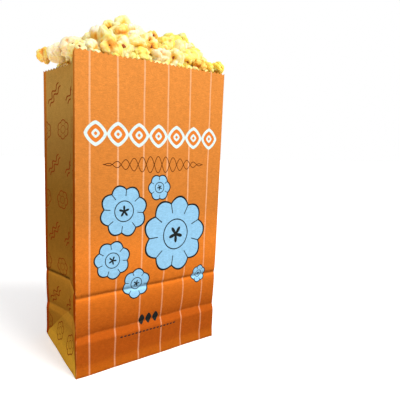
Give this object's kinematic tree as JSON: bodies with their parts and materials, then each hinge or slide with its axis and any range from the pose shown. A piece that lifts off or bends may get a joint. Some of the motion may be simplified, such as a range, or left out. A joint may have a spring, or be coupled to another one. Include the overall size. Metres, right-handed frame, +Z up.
{
  "type": "paper bag of popcorn",
  "caption": "Open flat-bottomed paper bag with pinstripes, side gussets and a pinked rim, filled with buttered popcorn heaped over its mouth.",
  "frame": {"origin": "centre of the bag's base, on the surface it stands on", "axes": "+Z up towards the mouth, +X to the right along the printed front panel, which faces -Y"},
  "size_m": [0.1697, 0.0918, 0.3184],
  "materials": {
    "printed_paper": "matt kraft paper printed orange with pale pinstripes and a pale blue design",
    "popped_corn": "matt popped corn, cream to butter yellow, brown at the hulls"
  },
  "bodies": {
    "root": {"bag": "printed_paper", "popcorn": "popped_corn"}
  },
  "joints": []
}
